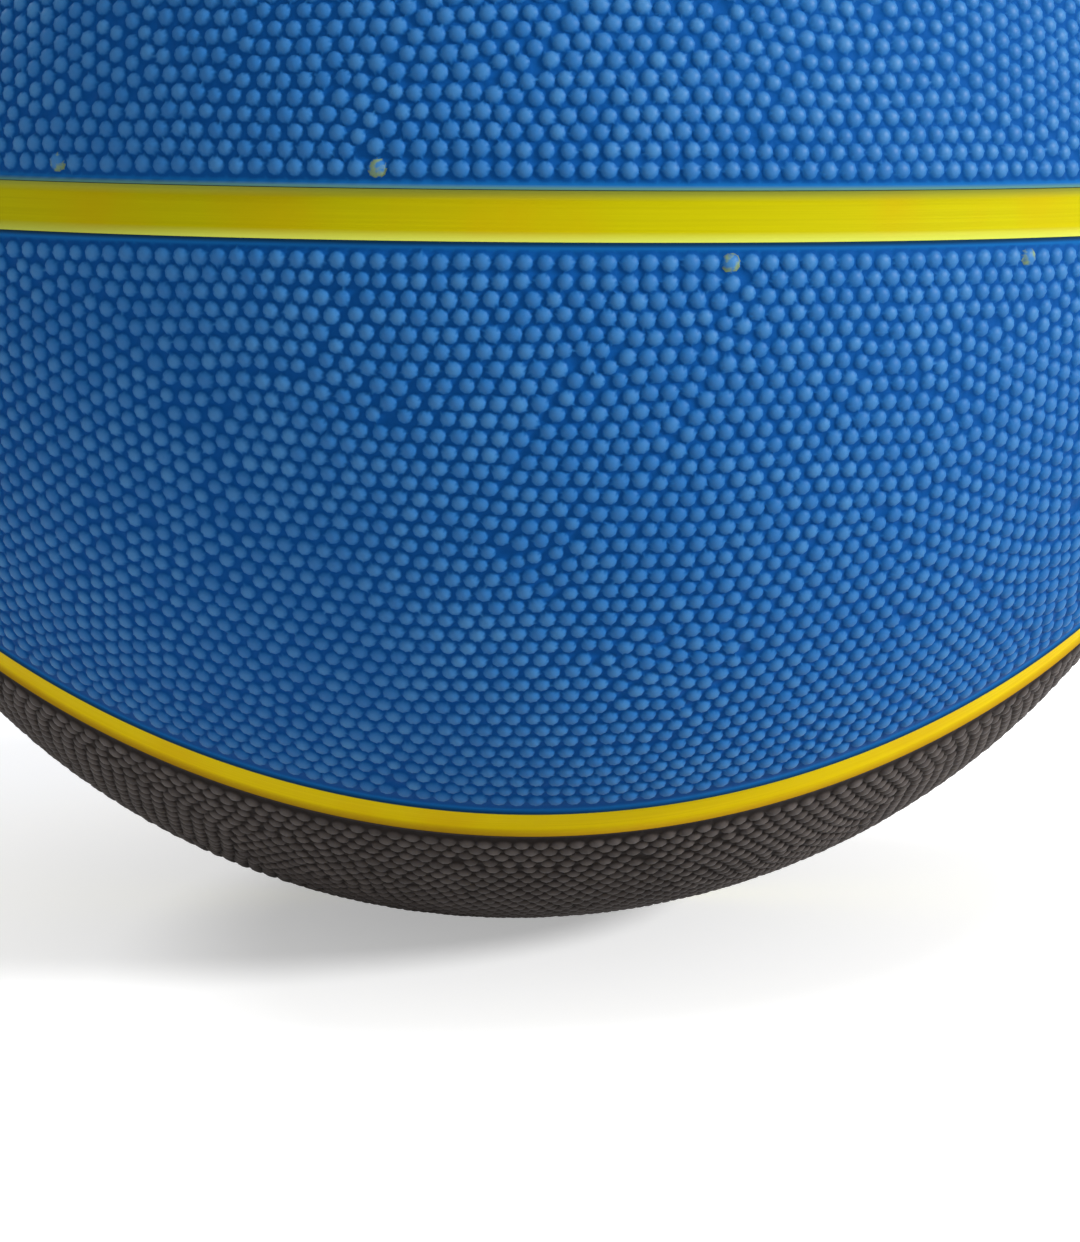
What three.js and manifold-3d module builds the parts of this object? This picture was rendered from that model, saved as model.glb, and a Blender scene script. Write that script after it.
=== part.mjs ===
// A size 7 rubber basketball, taken apart into the layers that it is built from.
// A butyl bladder with its inflation valve carries a layer of nylon thread and a rubber carcass.
// Eight moulded cover panels lie on the carcass: four blue ones beside the straight channel, four black ones
// at the top and bottom. Flat yellow rubber strips fill the floor of the channels between the panels.
// The origin is the centre of the ball. The straight channel lies in the XY plane and the second straight
// one in the XZ plane, so the two cross on the X axis. The curved channels loop round the +Z and -Z poles.
// Millimetres and degrees, +Z up.
import * as THREE from "three";
import { mergeVertices } from "three/addons/utils/BufferGeometryUtils.js";
import Module from "manifold-3d";

const wasm = await Module();
wasm.setup();

// Driving sizes
const ballRadius = 120; // to the outer face of the panels, from which the pebbles stand up
const coverThickness = 1.5;
const channelWidth = 6.4; // from panel to panel
const channelDepth = 0.9; // from the panels' outer face down to the strip
const panelEdgeChamfer = 0.5;
const crossingLatitude = 25; // of a curved channel where it crosses the second straight one
const widestLatitude = 48; // of a curved channel a quarter turn further on

const carcassThickness = 0.6;
const windingThickness = 0.4;
const bladderThickness = 0.85;

const valveAzimuth = 90; // from +X towards +Y
const valveLatitude = 10;
const valveStemRadius = 4;
const valveSetBack = 0.3; // of the valve's face from the panels' outer face
const valveFlangeRadius = 12;
const valveFlangeThickness = 1.4;
const valveHousingRadius = 4.6;
const valveHousingLength = 7; // inwards from the flange
const valveBoreRadius = 2.4;
const valveFloorThickness = 1.2; // at the inner end of the bore
const needleExitRadius = 1;
const coreSeatRadius = 3.2;
const coreSeatDepth = 1.6;
const coreHeadThickness = 1.1;
const coreLength = 10;
const needleRecessRadius = 0.9;
const needleRecessDepth = 0.5;

// Clearances
const bondGap = 0.3; // between pieces that are bonded or pressed together
const facetGap = 0.2; // more between the flat facets of the panels and of the carcass under them
const cutOverrun = 1; // by which a cutting tool passes the surface that it cuts
const mergeDistance = 1e-4; // within which corners of neighbouring triangles are one point

// Fineness of the surfaces
const shellDetail = 5;
const sidePanelCells = [28, 7]; // along and across
const capPanelCells = [18, 7];
const capSplitAzimuth = 42; // where a black panel's curved edge turns from its end to its long side
const equatorSteps = 72;
const curveSteps = 64;
const meridianStepAngle = 5.5;
const valveFacets = 24;

// Radii of the layers, from the outside inwards
const panelInnerRadius = ballRadius - coverThickness;
const stripOuterRadius = ballRadius - channelDepth;
const carcassOuterRadius = panelInnerRadius - bondGap - facetGap;
const carcassInnerRadius = carcassOuterRadius - carcassThickness;
const windingOuterRadius = carcassInnerRadius - bondGap;
const windingInnerRadius = windingOuterRadius - windingThickness;
const bladderOuterRadius = windingInnerRadius - bondGap;
const bladderInnerRadius = bladderOuterRadius - bladderThickness;
const stripHalfWidth = channelWidth / 2 - bondGap;

const radians = THREE.MathUtils.degToRad;
const arcAngle = (length) => length / ballRadius; // of a length measured on the ball's face

// Materials
const rubber = (color, roughness) => new THREE.MeshStandardMaterial({ color, roughness, metalness: 0 });
const blueRubber = rubber(0x2b7fd0, 0.55);
const blackRubber = rubber(0x2e2b2a, 0.6);
const yellowStrip = rubber(0xd6cc00, 0.45);
const carcassRubber = rubber(0x3a2f28, 0.8);
const nylonThread = rubber(0xe4dfd0, 0.7);
const butylRubber = rubber(0x1b1b1c, 0.5);
const valveRubber = rubber(0x202022, 0.5);

// Centre lines of the channels, as unit vectors

const onSphere = (azimuth, latitude) =>
  new THREE.Vector3(
    Math.cos(latitude) * Math.cos(azimuth),
    Math.cos(latitude) * Math.sin(azimuth),
    Math.sin(latitude),
  );
const equator = (azimuth) => onSphere(azimuth, 0);
const meridian = (angle) => new THREE.Vector3(Math.cos(angle), 0, Math.sin(angle));

// Seen along the X axis a curved channel is an arc of a circle, so it lies on a cylinder along X.
// The circle's centre and radius, in ball radii, follow from the two latitudes that the arc passes.
const crossingHeight = Math.sin(radians(crossingLatitude));
const widestHeight = Math.sin(radians(widestLatitude));
const arcCentre = (1 - crossingHeight ** 2) / (2 * (widestHeight - crossingHeight));
const arcRadius = arcCentre - crossingHeight;

function curve(azimuth) {
  const q = Math.sin(azimuth) ** 2 + arcCentre ** 2 - arcRadius ** 2;
  const height = q / (arcCentre + Math.sqrt(arcCentre ** 2 - Math.cos(azimuth) ** 2 * q));
  return onSphere(azimuth, Math.asin(height));
}

// The point at a distance to the side of a centre line, measured on the ball's face. A positive distance lies
// to the left of the direction of travel, seen from outside.
function beside(path, t, distance) {
  const step = 1e-4; // radians
  const point = path(t);
  const along = path(t + step).sub(path(t - step));
  const side = point.clone().cross(along).normalize();
  const angle = arcAngle(distance);
  return point.multiplyScalar(Math.cos(angle)).addScaledVector(side, Math.sin(angle));
}

// Where the edge beside the curved channel meets the edge beside the second straight channel
function curveEdgeStart(distance, channelHalf) {
  const target = Math.sin(arcAngle(channelHalf));
  let low = 0;
  let high = Math.PI / 4;
  while (high - low > 1e-12) {
    const middle = (low + high) / 2;
    if (beside(curve, middle, distance).y < target) low = middle;
    else high = middle;
  }
  return (low + high) / 2;
}

// Outlines of the panels in the quadrant of +Y and +Z. Each has four sides, which are functions from 0 to 1:
// the near and the far one run from +X to -X, and the start and the finish run from the near to the far one.
// The distance is from the channels' centre lines to the outline.

const mirroredX = (point) => new THREE.Vector3(-point.x, point.y, point.z);
const between = (a, b, t) => a + (b - a) * t;

function besideMeridian(angle, distance) {
  const tilt = arcAngle(distance);
  return meridian(angle).multiplyScalar(Math.cos(tilt)).setY(Math.sin(tilt));
}

function sidePanelOutline(distance) {
  const tilt = arcAngle(distance);
  const firstAngle = Math.asin(Math.tan(tilt));
  const curveStart = curveEdgeStart(-distance, distance);
  const corner = beside(curve, curveStart, -distance);
  const cornerAngle = Math.atan2(corner.z, corner.x);
  const end = (t) => besideMeridian(between(firstAngle, cornerAngle, t), distance);
  return {
    near: (t) => onSphere(between(firstAngle, Math.PI - firstAngle, t), tilt),
    far: (t) => beside(curve, between(curveStart, Math.PI - curveStart, t), -distance),
    start: end,
    finish: (t) => mirroredX(end(t)),
  };
}

function capPanelOutline(distance) {
  const curveStart = curveEdgeStart(distance, distance);
  const split = radians(capSplitAzimuth);
  const corner = beside(curve, curveStart, distance);
  const cornerAngle = Math.atan2(corner.z, corner.x);
  const end = (t) => beside(curve, between(split, curveStart, t), distance);
  return {
    near: (t) => beside(curve, between(split, Math.PI - split, t), distance),
    far: (t) => besideMeridian(between(cornerAngle, Math.PI - cornerAngle, t), distance),
    start: end,
    finish: (t) => mirroredX(end(t)),
  };
}

// A grid of points on a sphere that fills an outline: a Coons patch, pushed out to the radius
function fillOutline({ near, far, start, finish }, [cellsAlong, cellsAcross], radius) {
  const rows = [];
  for (let j = 0; j <= cellsAcross; j++) {
    const v = j / cellsAcross;
    const row = [];
    for (let i = 0; i <= cellsAlong; i++) {
      const u = i / cellsAlong;
      const point = new THREE.Vector3()
        .addScaledVector(near(u), 1 - v)
        .addScaledVector(far(u), v)
        .addScaledVector(start(v), 1 - u)
        .addScaledVector(finish(v), u)
        .addScaledVector(near(0), -(1 - u) * (1 - v))
        .addScaledVector(near(1), -u * (1 - v))
        .addScaledVector(far(0), -(1 - u) * v)
        .addScaledVector(far(1), -u * v);
      row.push(point.setLength(radius));
    }
    rows.push(row);
  }
  return rows;
}

// The points round the rim of a grid, in order
function rimOf(rows) {
  const last = rows.length - 1;
  const lastInRow = rows[0].length - 1;
  return [
    ...rows[0].slice(0, lastInRow),
    ...rows.slice(0, last).map((row) => row[lastInRow]),
    ...rows[last].slice(1).reverse(),
    ...rows.slice(1).map((row) => row[0]).reverse(),
  ];
}

// Meshes from lists of points

class Surface {
  triangles = [];

  triangle(a, b, c) {
    this.triangles.push(a, b, c);
  }

  quad(a, b, c, d) {
    this.triangle(a, b, c);
    this.triangle(a, c, d);
  }

  grid(rows, facingOut) {
    for (let j = 1; j < rows.length; j++) {
      for (let i = 1; i < rows[j].length; i++) {
        const corners = [rows[j - 1][i - 1], rows[j - 1][i], rows[j][i], rows[j][i - 1]];
        this.quad(...(facingOut ? corners : corners.reverse()));
      }
    }
  }

  band(upper, lower) {
    upper.forEach((point, i) => {
      const next = (i + 1) % upper.length;
      this.quad(point, lower[i], lower[next], upper[next]);
    });
  }

  // The surface as a geometry. An odd number of signs of -1 mirrors it, and turns its faces round again.
  geometry(signs = [1, 1, 1]) {
    const turned = signs[0] * signs[1] * signs[2] < 0;
    const scale = new THREE.Vector3(...signs);
    const points = this.triangles.map((point) => point.clone().multiply(scale));
    if (turned) points.reverse();
    return mergeVertices(new THREE.BufferGeometry().setFromPoints(points), mergeDistance);
  }
}

// Solids for cutting and joining, from closed geometries, and back
function solid(geometry) {
  const bare = geometry.clone();
  bare.deleteAttribute("normal");
  bare.deleteAttribute("uv");
  const merged = mergeVertices(bare, mergeDistance);
  return new wasm.Manifold(
    new wasm.Mesh({
      numProp: 3,
      vertProperties: new Float32Array(merged.attributes.position.array),
      triVerts: new Uint32Array(merged.index.array),
    }),
  );
}

function geometryOf(shape) {
  const { numProp, numVert, vertProperties, triVerts } = shape.getMesh();
  const positions = new Float32Array(numVert * 3);
  for (let i = 0; i < numVert; i++) {
    const first = i * numProp;
    positions.set(vertProperties.subarray(first, first + 3), i * 3);
  }
  return new THREE.BufferGeometry()
    .setAttribute("position", new THREE.BufferAttribute(positions, 3))
    .setIndex(new THREE.BufferAttribute(triVerts, 1));
}

const ball = new THREE.Group();

function add(name, geometry, material) {
  geometry.computeVertexNormals();
  const mesh = new THREE.Mesh(geometry, material);
  mesh.name = name;
  ball.add(mesh);
  return mesh;
}

// The valve's axis points outwards. A lathed piece is turned from +Y to lie on it, measured from the centre.
const valveDirection = onSphere(radians(valveAzimuth), radians(valveLatitude));
const toValve = new THREE.Quaternion().setFromUnitVectors(new THREE.Vector3(0, 1, 0), valveDirection);

function lathed(profile) {
  const points = profile.map(([radius, height]) => new THREE.Vector2(radius, height));
  return solid(new THREE.LatheGeometry(points, valveFacets).applyQuaternion(toValve));
}

function rod(radius, from, to) {
  return lathed([[0, from], [radius, from], [radius, to], [0, to]]);
}

const valveFaceRadius = ballRadius - valveSetBack;
const roundBall = (radius) => solid(new THREE.IcosahedronGeometry(radius, shellDetail));
const stemHoleBottom = bladderInnerRadius - valveFlangeRadius;
const stemHole = rod(valveStemRadius + bondGap, stemHoleBottom, ballRadius + cutOverrun);

// Bladder, thread and carcass: closed shells with the hole that the valve's stem passes through
function shell(outerRadius, innerRadius) {
  return geometryOf(roundBall(outerRadius).subtract(roundBall(innerRadius)).subtract(stemHole));
}
add("bladder", shell(bladderOuterRadius, bladderInnerRadius), butylRubber);
add("thread_winding", shell(windingOuterRadius, windingInnerRadius), nylonThread);
add("carcass", shell(carcassOuterRadius, carcassInnerRadius), carcassRubber);

// The valve's flange is bonded to the inside of the bladder, and follows its round wall
const flangeOuterRadius = bladderInnerRadius - bondGap;
const flangeRimHeight = Math.sqrt(flangeOuterRadius ** 2 - valveFlangeRadius ** 2);
const flangeInnerFace = flangeRimHeight - valveFlangeThickness;
const housingEnd = flangeInnerFace - valveHousingLength;
const insideBladder = roundBall(flangeOuterRadius);
const valveBase = rod(valveFlangeRadius, flangeInnerFace, bladderInnerRadius)
  .add(rod(valveHousingRadius, housingEnd, bladderInnerRadius - bladderThickness))
  .intersect(insideBladder);
const coreSeat = valveFaceRadius - coreSeatDepth;
const valveBody = valveBase
  .add(rod(valveStemRadius, flangeInnerFace, valveFaceRadius))
  .subtract(rod(valveBoreRadius, housingEnd + valveFloorThickness, ballRadius))
  .subtract(rod(needleExitRadius, housingEnd - cutOverrun, ballRadius))
  .subtract(rod(coreSeatRadius, coreSeat, ballRadius));
add("valve_body", geometryOf(valveBody), valveRubber);

// The core is a rubber plug. The pump's needle enters at the recess in its face and parts a slit below it.
const coreFace = coreSeat + bondGap + coreHeadThickness;
const headUnderside = coreSeat + bondGap;
const coreHeadRadius = coreSeatRadius - bondGap;
const corePlugRadius = valveBoreRadius - bondGap;
const coreProfile = [
  [0, coreFace - coreLength],
  [corePlugRadius, coreFace - coreLength],
  [corePlugRadius, headUnderside],
  [coreHeadRadius, headUnderside],
  [coreHeadRadius, coreFace],
  [needleRecessRadius, coreFace],
  [needleRecessRadius, coreFace - needleRecessDepth],
  [0, coreFace - needleRecessDepth],
];
add("valve_core", geometryOf(lathed(coreProfile)), valveRubber);

// Cover panels: a curved plate with a chamfer round its outer face
function panel(outline, cells, signs) {
  const edge = channelWidth / 2;
  const outer = fillOutline(outline(edge + panelEdgeChamfer), cells, ballRadius);
  const inner = fillOutline(outline(edge), cells, panelInnerRadius);
  const underside = rimOf(inner);
  const wallTop = underside.map((point) => point.clone().setLength(ballRadius - panelEdgeChamfer));
  const made = new Surface();
  made.grid(outer, true);
  made.grid(inner, false);
  made.band(rimOf(outer), wallTop);
  made.band(wallTop, underside);
  return made.geometry(signs);
}

const valveHasSigns = (signY, signZ) => signY * valveDirection.y > 0 && signZ * valveDirection.z > 0;
for (const [depth, signY] of [["front", -1], ["back", 1]]) {
  for (const [level, signZ] of [["upper", 1], ["lower", -1]]) {
    const signs = [1, signY, signZ];
    let side = panel(sidePanelOutline, sidePanelCells, signs);
    if (valveHasSigns(signY, signZ)) side = geometryOf(solid(side).subtract(stemHole));
    add(`side_panel_${depth}_${level}`, side, blueRubber);
    add(`cap_panel_${depth}_${level}`, panel(capPanelOutline, capPanelCells, signs), blackRubber);
  }
}

// Channel strips: flat bands that follow a centre line, closed in a ring or cut square at both ends
function strip(path, from, to, steps, closed, signs) {
  const sections = [];
  for (let i = 0; i < steps + (closed ? 0 : 1); i++) {
    const t = between(from, to, i / steps);
    const [right, left] = [-stripHalfWidth, stripHalfWidth].map((distance) => beside(path, t, distance));
    sections.push([
      right.clone().setLength(panelInnerRadius),
      right.clone().setLength(stripOuterRadius),
      left.clone().setLength(stripOuterRadius),
      left.clone().setLength(panelInnerRadius),
    ]);
  }
  const made = new Surface();
  const joints = closed ? sections.length : steps;
  for (let i = 0; i < joints; i++) made.band(sections[i], sections[(i + 1) % sections.length]);
  if (!closed) {
    made.quad(...sections[0]);
    made.quad(...sections[steps].slice().reverse());
  }
  return made.geometry(signs);
}

const fullTurn = 2 * Math.PI;
add("equator_strip", strip(equator, 0, fullTurn, equatorSteps, true), yellowStrip);
add("curve_strip_upper", strip(curve, 0, fullTurn, curveSteps, true), yellowStrip);
add("curve_strip_lower", strip(curve, 0, fullTurn, curveSteps, true, [1, 1, -1]), yellowStrip);

// The second straight channel is crossed by the three rings, so its strip lies in pieces between them
const ringAllowance = arcAngle(stripHalfWidth + bondGap);
const crossingAngle = radians(crossingLatitude);
const meridianSteps = (angle) => Math.max(2, Math.round(angle / radians(meridianStepAngle)));
function meridianStrip(from, to, signs) {
  return strip(meridian, from, to, meridianSteps(to - from), false, signs);
}
for (const [level, signZ] of [["upper", 1], ["lower", -1]]) {
  for (const [side, signX] of [["right", 1], ["left", -1]]) {
    const short = meridianStrip(ringAllowance, crossingAngle - ringAllowance, [signX, 1, signZ]);
    add(`meridian_strip_${side}_${level}`, short, yellowStrip);
  }
  const start = crossingAngle + ringAllowance;
  add(`meridian_strip_over_${level}`, meridianStrip(start, Math.PI - start, [1, 1, signZ]), yellowStrip);
}

export default ball;
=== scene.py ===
"""A size 7 rubber basketball: pebbled cover panels, channel strips and a needle valve, on a white floor.

The origin is the centre of the ball. The straight channel lies in the XY plane, the second straight one in
the XZ plane, and the two curved channels loop round the +Z and -Z poles. Lengths are in metres. Directions
from the centre are unit vectors, and a distance along the ball's face is measured at its full radius.
"""
import math

import bpy
import numpy as np
from mathutils import Matrix, Vector
from mathutils.geometry import delaunay_2d_cdt


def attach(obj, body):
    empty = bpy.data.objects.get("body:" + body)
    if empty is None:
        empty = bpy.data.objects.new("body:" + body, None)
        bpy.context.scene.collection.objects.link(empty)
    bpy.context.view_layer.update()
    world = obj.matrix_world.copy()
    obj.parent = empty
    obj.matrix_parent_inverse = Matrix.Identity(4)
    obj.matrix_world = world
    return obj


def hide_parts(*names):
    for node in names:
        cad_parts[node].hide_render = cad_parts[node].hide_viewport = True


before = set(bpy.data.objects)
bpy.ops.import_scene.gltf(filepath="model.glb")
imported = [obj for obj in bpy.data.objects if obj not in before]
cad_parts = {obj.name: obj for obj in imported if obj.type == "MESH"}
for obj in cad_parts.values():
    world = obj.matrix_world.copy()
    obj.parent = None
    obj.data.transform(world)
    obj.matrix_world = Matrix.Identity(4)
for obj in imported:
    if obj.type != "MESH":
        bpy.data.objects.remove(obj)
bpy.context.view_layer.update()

MM = 0.001
FULL_TURN = 2 * math.pi
MERGE_DISTANCE = 0.001 * MM

# The ball and its channels
BALL_RADIUS = 120 * MM  # to the tops of the pebbles
PANEL_INNER_RADIUS = 118.5 * MM
CHANNEL_EDGE = 3.35 * MM  # half a channel's width, from its centre line to a panel's wall
CROSSING_LATITUDE = math.radians(25)  # of a curved channel where it crosses the second straight one
WIDEST_LATITUDE = math.radians(48)  # of a curved channel a quarter turn further on

# Cover panels
PEBBLE_PITCH = 2.7 * MM
PEBBLE_HEIGHT = 0.65 * MM
PEBBLE_HEIGHT_SPREAD = 0.1  # by what share of its height a pebble can be lower
PEBBLE_RADIUS = 1.3 * MM
PEBBLE_LEAST_RADIUS = 1.1 * MM
PEBBLE_STRETCH = 0.03  # how far a pebble's outline differs from a circle
PEBBLE_SHARE_OF_GAP = 0.49  # its largest radius, as a share of the distance to the nearest neighbour
PEBBLE_RINGS = ((0.45, 0.9, 5), (0.79, 0.55, 8), (1.0, 0.0, 11))  # share of radius and height, corners
FIRST_ROW_DISTANCE = 5.9 * MM  # from a straight channel's centre line to the row of pebbles along it
CURVED_ROW_EXTRA = 0.8 * MM  # how much further the row lies from a curved channel
PLACE_JITTER = 0.045 * MM  # how far the pebbles stray from their even places
VALLEY_RADIUS = BALL_RADIUS - PEBBLE_HEIGHT
LIP_WIDTH = 0.75 * MM  # of the raised lip along each edge of a panel, highest at the channel's wall
LIP_HEIGHT = 0.35 * MM
LIP_SHARES = (0.84, 0.68, 0.52, 0.36, 0.2, 0.08, 0)  # of its width from the wall, where it has corners
OUTLINE_STEP = 1.4 * MM
CURVE_LENGTH = 2.6 * BALL_RADIUS  # about that of a panel's side along a curved channel
UNDERSIDE_EVERY = 7  # the underside has a corner below each seventh pebble
FAR_FROM_WALL = 10 * MM  # where the finish no longer depends on the distance to a channel

# How the pebbles are packed, in pitches
START_SCATTER = 0.2
ROW_CLEARANCE = 0.5  # from the row along the rim to where the other pebbles start
RELAX_STEPS = 200
STEPS_BETWEEN_MESHES = 4
PUSH_REACH = 1.2  # pebbles further apart than this don't push each other
PUSH_FADE = 0.2  # how far inside that reach a push has its plain strength
PUSH_STEP = 0.02  # how far a push of that strength moves a pebble
LARGEST_PUSH = 2.5  # that all the pushes on a pebble can come to in one step

# Channel strips
STRIP_SURFACE_RADIUS = 119.1 * MM
STRIP_HALF_WIDTH = 3.27 * MM
UPTURN_WIDTH = 1.15 * MM  # along each edge of a strip, where it curves up to the height of the lips
UPTURN_HEIGHT = VALLEY_RADIUS + LIP_HEIGHT - STRIP_SURFACE_RADIUS
UPTURN_SHARES = (0, 0.1, 0.2, 0.32, 0.46, 0.62, 0.8, 1)  # of its width from the edge, where it has corners
STRIP_STEP = 1.6 * MM
STRIP_END_GAP = 0.06 * MM
STRIP_SHARP_DEGREES = 50

# Valve. Its heights are distances from the ball's centre, along its own axis.
VALVE_LATITUDE = math.radians(10)
VALVE_PANEL = "side_panel_back_upper"
VALVE_HOLE_RADIUS = 4.3 * MM
VALVE_CLEARING_RADIUS = 7.5 * MM  # of the smooth disc round the valve
HOLE_CORNERS = 48
VALVE_FACE = 119.7 * MM
CORE_SEAT = 118.1 * MM
STEM_RADIUS = 4 * MM
CORE_SEAT_RADIUS = 3.2 * MM
FLANGE_RADIUS = 12 * MM
FLANGE_DOME_RADIUS = 115.25 * MM  # of the flange's outer face, which lies against the bladder
FLANGE_DOME_CORNERS = 5
FLANGE_INNER_FACE = 113.22 * MM
HOUSING_RADIUS = 4.6 * MM
HOUSING_END = 106.22 * MM
HOUSING_FLOOR = 1.2 * MM
BORE_RADIUS = 2.4 * MM
NEEDLE_EXIT_RADIUS = 1 * MM
CORE_FACE = 119.5 * MM
CORE_HEAD_UNDERSIDE = 118.4 * MM
CORE_END = 109.5 * MM
CORE_HEAD_RADIUS = 2.9 * MM
CORE_PLUG_RADIUS = 2.1 * MM
NEEDLE_RECESS_RADIUS = 0.9 * MM
NEEDLE_RECESS_DEPTH = 0.5 * MM
NEEDLE_SLIT_RADIUS = 0.3 * MM
VALVE_EDGE_RADIUS = 0.15 * MM
VALVE_EDGE_SEGMENTS = 3
VALVE_SHARP_DEGREES = 30

# Finishes. A pair of distances from a channel's wall is where a finish starts to change and where it has
# changed.
CLOUD_SIZE = 30 * MM  # of the areas that hands have rubbed more or less
COVER_GRAIN = 0.35 * MM
SPECK_SIZE = 1.4 * MM
# where the lips' bled strip colour and painted light fade out
LIP_BLEED_AND_PAINTED_LIGHT_ENDS = (0.2 * MM, 0.65 * MM)
RIM_LINES_END = (1.2 * MM, 1.6 * MM)
# where the valleys' painted shade begins to show, and where it is full
PAINTED_VALLEY_SHADE_STARTS = (0.8 * MM, 1.8 * MM)
FIRST_ROW_ENDS = (3.0 * MM, 3.1 * MM)  # along a straight channel
COVER_LINE_SPACING = 0.22 * MM
STRIP_LINE_SPACING = 0.3 * MM
LINE_LENGTH = 40 * MM
PATCH_SIZE = 18 * MM
# where the painted light along a strip's edge begins
EDGE_PAINTED_LIGHT_START = 0.6  # as a share of a strip's half width
POWDER_SIZE = 4 * MM
POWDER_GRAIN = 0.4 * MM
THREAD_SPACING = 0.8 * MM  # as drawn, coarser than the real one
FINE_RELIEF = 0.05 * MM
THREAD_RELIEF = 0.1 * MM

# Floor and light
FLOOR_SIZE = 60 * BALL_RADIUS
FLOOR_GLOW = 0.4  # that only the camera sees
LAMP_DISTANCE = 3.0
WORLD_STRENGTH = 0.46

# The photograph: the camera is given by where the ball's centre falls in the frame
PHOTO_WIDTH = 1080
PHOTO_HEIGHT = 1242
BALL_CENTRE_PIXEL = (515.6, 183.6)
CAMERA_DISTANCE = 4.4 * BALL_RADIUS
CAMERA_AZIMUTH = math.radians(2.48)  # from -Y towards -X
CAMERA_ELEVATION = math.radians(1.97)
CAMERA_ROLL = math.radians(0.46)
FOCAL_PIXELS = 3190
SENSOR_WIDTH_MM = 36  # along the long side of the frame

rng = np.random.default_rng(7)


# Directions and paths on the ball

def unit(vectors):
    return vectors / np.linalg.norm(vectors, axis=-1, keepdims=True)


def on_sphere(azimuth, latitude):
    azimuth, latitude = np.broadcast_arrays(azimuth, latitude)
    reach = np.cos(latitude)
    return np.stack([reach * np.cos(azimuth), reach * np.sin(azimuth), np.sin(latitude)], axis=-1)


def equator(azimuth):
    return on_sphere(azimuth, 0.0)


def meridian(angle):
    return np.stack([np.cos(angle), np.zeros_like(angle), np.sin(angle)], axis=-1)


# Seen along X a curved channel is an arc of a circle, so it lies on a cylinder along X. The circle's centre
# and radius, in ball radii, follow from the two latitudes that the arc passes.
CROSSING_HEIGHT = math.sin(CROSSING_LATITUDE)
WIDEST_HEIGHT = math.sin(WIDEST_LATITUDE)
ARC_CENTRE = (1 - CROSSING_HEIGHT ** 2) / (2 * (WIDEST_HEIGHT - CROSSING_HEIGHT))
ARC_RADIUS = ARC_CENTRE - CROSSING_HEIGHT


def curve(azimuth):
    q = np.sin(azimuth) ** 2 + ARC_CENTRE ** 2 - ARC_RADIUS ** 2
    height = q / (ARC_CENTRE + np.sqrt(ARC_CENTRE ** 2 - np.cos(azimuth) ** 2 * q))
    return on_sphere(azimuth, np.arcsin(height))


def beside(path, t, distance):
    """The places at a distance to the left of a path."""
    step = 1e-4
    t = np.asarray(t, dtype=float)
    place = path(t)
    side = unit(np.cross(place, path(t + step) - path(t - step)))
    angle = np.asarray(distance)[..., None] / BALL_RADIUS
    return place * np.cos(angle) + side * np.sin(angle)


def beside_meridian(angle, distance):
    """The places at a distance on the +Y side of the second straight channel."""
    return -beside(meridian, np.asarray(angle) + math.pi, distance)


def curve_edge_start(curve_distance, meridian_distance):
    """The azimuth where a line beside the curved channel meets one beside the second straight channel."""
    low, high = 0.0, math.pi / 4
    precision = 1e-9
    target = math.sin(meridian_distance / BALL_RADIUS)
    while high - low > precision:
        middle = (low + high) / 2
        if beside(curve, middle, curve_distance)[1] < target:
            low = middle
        else:
            high = middle
    return (low + high) / 2


def lip_rise(share):
    """How high a panel's lip is at a share of its width from the wall, where 1 is its full height. It is
    rounded at the wall and runs out gently."""
    return math.cos(math.pi / 2 * share) ** 2


def upturn_rise(share):
    """How high a strip's upturn is at a share of its width from the edge, where 1 is its full height. It is
    steepest at the edge and runs out gently."""
    return (1 - np.clip(share, 0, 1)) ** 2


# Panels. Both kinds are made in the quadrant of +Y and +Z. A side panel lies between the straight and the
# curved channel, and a cap panel inside the curved one.

SIDE = "side"
CAP = "cap"
PANEL_MIDDLES = {
    SIDE: on_sphere(math.pi / 2, math.radians(24)),
    CAP: on_sphere(math.pi / 2, math.radians(62)),
}
VALVE_DIRECTION = on_sphere(math.pi / 2, VALVE_LATITUDE)


def even_steps(start, end, length):
    """Values from start to end, one for each step along a length, without the last."""
    count = round(length / OUTLINE_STEP)
    return start + (end - start) * np.arange(count) / count


def panel_outline(kind, distance, curved_extra=0.0):
    """The closed outline of a panel at a distance from the channels' centre lines, counterclockwise seen
    from outside, with its corners eased. It has as many places at any distance."""
    tilt = distance / BALL_RADIUS
    curve_distance = (distance + curved_extra) * (-1 if kind == SIDE else 1)
    curve_start = curve_edge_start(curve_distance, distance)
    curve_end = math.pi - curve_start
    corner = beside(curve, curve_start, curve_distance)
    corner_angle = math.atan2(corner[2], corner[0])
    if kind == SIDE:
        first = math.asin(math.tan(tilt))
        end_length = CROSSING_LATITUDE * BALL_RADIUS
        sides = (
            on_sphere(even_steps(first, math.pi - first, math.pi * BALL_RADIUS), tilt),
            beside_meridian(math.pi - even_steps(first, corner_angle, end_length), distance),
            beside(curve, even_steps(curve_end, curve_start, CURVE_LENGTH), curve_distance),
            beside_meridian(even_steps(corner_angle, first, end_length), distance),
        )
    else:
        over_length = (math.pi - 2 * CROSSING_LATITUDE) * BALL_RADIUS
        sides = (
            beside(curve, even_steps(curve_start, curve_end, CURVE_LENGTH), curve_distance),
            beside_meridian(even_steps(math.pi - corner_angle, corner_angle, over_length), distance),
        )
    outline = np.concatenate(sides)
    return unit(np.roll(outline, 1, axis=0) + 2 * outline + np.roll(outline, -1, axis=0))


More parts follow.
